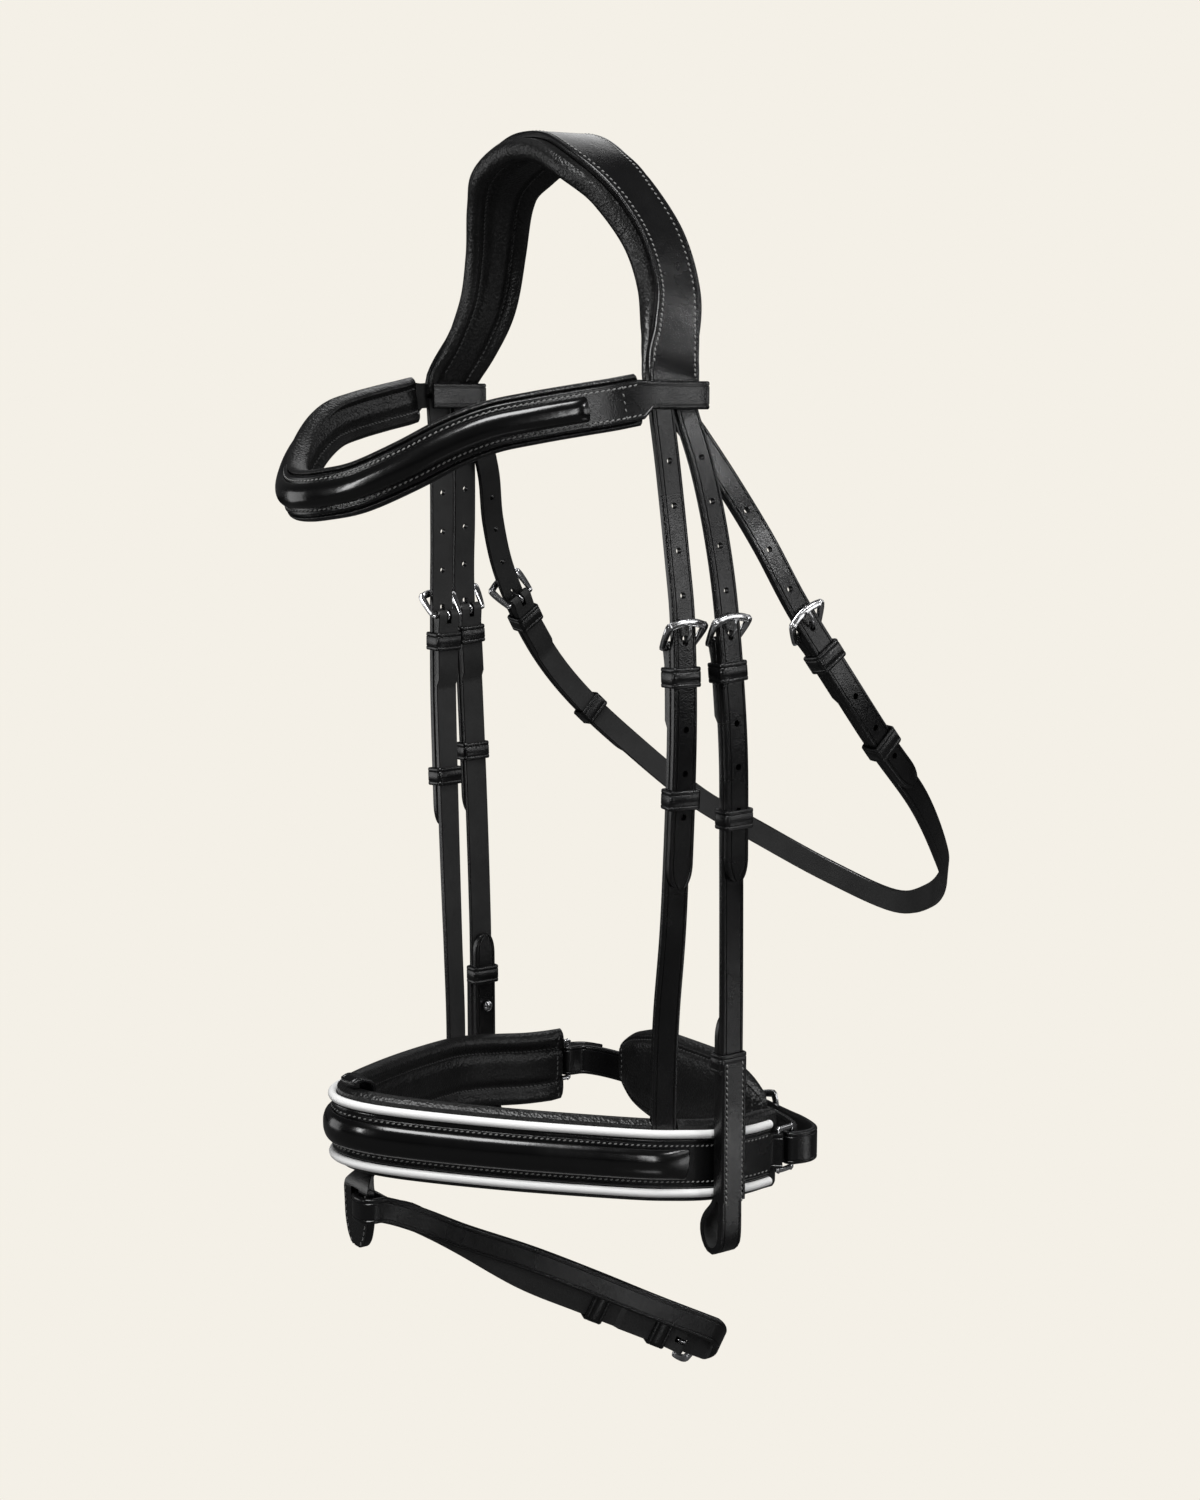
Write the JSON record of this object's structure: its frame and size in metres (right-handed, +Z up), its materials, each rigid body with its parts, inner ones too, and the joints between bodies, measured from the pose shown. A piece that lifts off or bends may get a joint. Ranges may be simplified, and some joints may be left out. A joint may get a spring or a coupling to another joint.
{
  "type": "dressage bridle",
  "caption": "Padded black dressage bridle with browband, crank noseband, flash strap and throatlatch, without bit or reins.",
  "frame": {"origin": "where the crown's lining rests on the horse's poll, in the middle", "axes": "+Z up, -Y the way the horse looks, +X the horse's left, the near side"},
  "size_m": [0.2583, 0.3719, 0.5947],
  "materials": {
    "strap_leather": "satin",
    "patent_leather": "gloss",
    "lining_leather": "matte",
    "piping_leather": "satin",
    "polished_steel": "polished"
  },
  "bodies": {
    "crown": {"crown_strap": "strap_leather", "crown_lining": "lining_leather", "browband_band": "strap_leather", "browband_padding": "lining_leather", "browband_raised_strip": "patent_leather"},
    "noseband": {"noseband_band": "strap_leather", "noseband_raised_strip": "patent_leather", "noseband_padding": "lining_leather", "noseband_upper_piping": "piping_leather", "noseband_lower_piping": "piping_leather", "flash_loop": "strap_leather", "near_noseband_point": "strap_leather", "near_noseband_hanger": "strap_leather", "near_noseband_buckle": "polished_steel", "near_noseband_fixed_keeper": "strap_leather", "far_noseband_point": "strap_leather", "far_noseband_hanger": "strap_leather", "far_noseband_buckle": "polished_steel", "far_noseband_fixed_keeper": "strap_leather"},
    "near_cheekpiece": {"near_cheek_point": "strap_leather", "near_cheek_strap": "strap_leather", "near_cheek_buckle": "polished_steel", "near_cheek_fixed_keeper": "strap_leather", "near_hook_stud": "polished_steel"},
    "far_cheekpiece": {"far_cheek_point": "strap_leather", "far_cheek_strap": "strap_leather", "far_cheek_buckle": "polished_steel", "far_cheek_fixed_keeper": "strap_leather", "far_hook_stud": "polished_steel"},
    "throatlatch": {"throat_strap": "strap_leather", "near_throat_point": "strap_leather", "near_throat_buckle": "polished_steel", "near_throat_fixed_keeper": "strap_leather", "far_throat_point": "strap_leather", "far_throat_buckle": "polished_steel", "far_throat_fixed_keeper": "strap_leather"},
    "near_ring": {"near_noseband_ring": "polished_steel"},
    "far_ring": {"far_noseband_ring": "polished_steel"},
    "chin_strap": {"crank_strap": "strap_leather", "chin_pad": "lining_leather", "crank_buckle": "polished_steel", "crank_keeper": "strap_leather"},
    "flash_strap": {"flash_strap": "strap_leather", "flash_buckle": "polished_steel", "flash_fixed_keeper": "strap_leather"},
    "near_noseband_prong": {"near_noseband_prong": "polished_steel"},
    "near_noseband_sliding_keeper": {"near_noseband_sliding_keeper": "strap_leather"},
    "far_noseband_prong": {"far_noseband_prong": "polished_steel"},
    "far_noseband_sliding_keeper": {"far_noseband_sliding_keeper": "strap_leather"},
    "near_cheek_prong": {"near_cheek_prong": "polished_steel"},
    "near_cheek_sliding_keeper": {"near_cheek_sliding_keeper": "strap_leather"},
    "far_cheek_prong": {"far_cheek_prong": "polished_steel"},
    "far_cheek_sliding_keeper": {"far_cheek_sliding_keeper": "strap_leather"},
    "near_throat_prong": {"near_throat_prong": "polished_steel"},
    "near_throat_sliding_keeper": {"near_throat_sliding_keeper": "strap_leather"},
    "far_throat_prong": {"far_throat_prong": "polished_steel"},
    "far_throat_sliding_keeper": {"far_throat_sliding_keeper": "strap_leather"},
    "crank_prong": {"crank_prong": "polished_steel"},
    "flash_prong": {"flash_prong": "polished_steel"},
    "flash_sliding_keeper": {"flash_sliding_keeper": "strap_leather"}
  },
  "joints": [
    {"name": "noseband_swing", "type": "hinge", "parent": "crown", "child": "noseband", "pos_m": [0, 0, -0.111], "axis": [1, 0, 0], "range_deg": [-7, 1]},
    {"name": "near_cheekpiece_swing", "type": "hinge", "parent": "noseband", "child": "near_cheekpiece", "pos_m": [0.09275, 0.0069, -0.111], "axis": [0, -1, 0], "range_deg": [0, 6]},
    {"name": "far_cheekpiece_swing", "type": "hinge", "parent": "noseband", "child": "far_cheekpiece", "pos_m": [-0.09275, 0.0069, -0.111], "axis": [0, 1, 0], "range_deg": [0, 6]},
    {"name": "throatlatch_swing", "type": "hinge", "parent": "crown", "child": "throatlatch", "pos_m": [0, 0.005, -0.111], "axis": [1, 0, 0], "range_deg": [-1, 6]},
    {"name": "near_ring_swing", "type": "hinge", "parent": "noseband", "child": "near_ring", "pos_m": [0.09498, 0.06386, -0.46896], "axis": [0.0014, -0.0104, -0.9999], "range_deg": [-3, 3]},
    {"name": "far_ring_swing", "type": "hinge", "parent": "noseband", "child": "far_ring", "pos_m": [-0.09498, 0.06386, -0.46896], "axis": [-0.0014, -0.0104, -0.9999], "range_deg": [-3, 3]},
    {"name": "chin_strap_swing", "type": "hinge", "parent": "noseband", "child": "chin_strap", "pos_m": [0, 0.07375, -0.46907], "axis": [1, 0, 0], "range_deg": [-4, 5]},
    {"name": "flash_strap_swing", "type": "hinge", "parent": "noseband", "child": "flash_strap", "pos_m": [0, -0.11252, -0.4855], "axis": [0.9242, -0.382, 0], "range_deg": [-6, 5]},
    {"name": "near_noseband_prong_lift", "type": "hinge", "parent": "noseband", "child": "near_noseband_prong", "pos_m": [0.09689, -0.00027, -0.22168], "axis": [0.046, 0.9988, 0.0146], "range_deg": [0, 5]},
    {"name": "near_noseband_sliding_keeper_slide", "type": "slide", "parent": "noseband", "child": "near_noseband_sliding_keeper", "axis": [-0.0384, -0.0046, -0.9993], "range_m": [-0.01, 0.01]},
    {"name": "far_noseband_prong_lift", "type": "hinge", "parent": "noseband", "child": "far_noseband_prong", "pos_m": [-0.09689, -0.00027, -0.22168], "axis": [0.046, -0.9988, -0.0146], "range_deg": [0, 5]},
    {"name": "far_noseband_sliding_keeper_slide", "type": "slide", "parent": "noseband", "child": "far_noseband_sliding_keeper", "axis": [0.0447, -0.006, -0.999], "range_m": [-0.01, 0.01]},
    {"name": "near_cheek_prong_lift", "type": "hinge", "parent": "near_cheekpiece", "child": "near_cheek_prong", "pos_m": [0.10524, 0.01898, -0.21975], "axis": [0.0006, 0.9974, 0.0715], "range_deg": [0, 5]},
    {"name": "near_cheek_sliding_keeper_slide", "type": "slide", "parent": "near_cheekpiece", "child": "near_cheek_sliding_keeper", "axis": [-0.0223, 0.0244, -0.9995], "range_m": [-0.01, 0.01]},
    {"name": "far_cheek_prong_lift", "type": "hinge", "parent": "far_cheekpiece", "child": "far_cheek_prong", "pos_m": [-0.10524, 0.01898, -0.21975], "axis": [0.0006, -0.9974, -0.0715], "range_deg": [0, 5]},
    {"name": "far_cheek_sliding_keeper_slide", "type": "slide", "parent": "far_cheekpiece", "child": "far_cheek_sliding_keeper", "axis": [0.0213, 0.0259, -0.9994], "range_m": [-0.01, 0.01]},
    {"name": "near_throat_prong_lift", "type": "hinge", "parent": "throatlatch", "child": "near_throat_prong", "pos_m": [0.11722, 0.05889, -0.2172], "axis": [0, 0.8521, 0.5233], "range_deg": [0, 5]},
    {"name": "near_throat_sliding_keeper_slide", "type": "slide", "parent": "throatlatch", "child": "near_throat_sliding_keeper", "axis": [-0.0859, 0.6863, -0.7222], "range_m": [-0.005, 0.005]},
    {"name": "far_throat_prong_lift", "type": "hinge", "parent": "throatlatch", "child": "far_throat_prong", "pos_m": [-0.11722, 0.05889, -0.2172], "axis": [0, -0.8521, -0.5233], "range_deg": [0, 5]},
    {"name": "far_throat_sliding_keeper_slide", "type": "slide", "parent": "throatlatch", "child": "far_throat_sliding_keeper", "axis": [0.1127, 0.7206, -0.6841], "range_m": [-0.005, 0.005]},
    {"name": "crank_prong_lift", "type": "hinge", "parent": "chin_strap", "child": "crank_prong", "pos_m": [0.0409, 0.09218, -0.46907], "axis": [0, 0, 1], "range_deg": [0, 5]},
    {"name": "flash_prong_lift", "type": "hinge", "parent": "flash_strap", "child": "flash_prong", "pos_m": [0.05879, 0.03395, -0.5697], "axis": [0.1717, 0.4154, 0.8933], "range_deg": [0, 5]},
    {"name": "flash_sliding_keeper_slide", "type": "slide", "parent": "flash_strap", "child": "flash_sliding_keeper", "axis": [-0.3428, -0.8294, 0.441], "range_m": [-0.004, 0.008]}
  ]
}
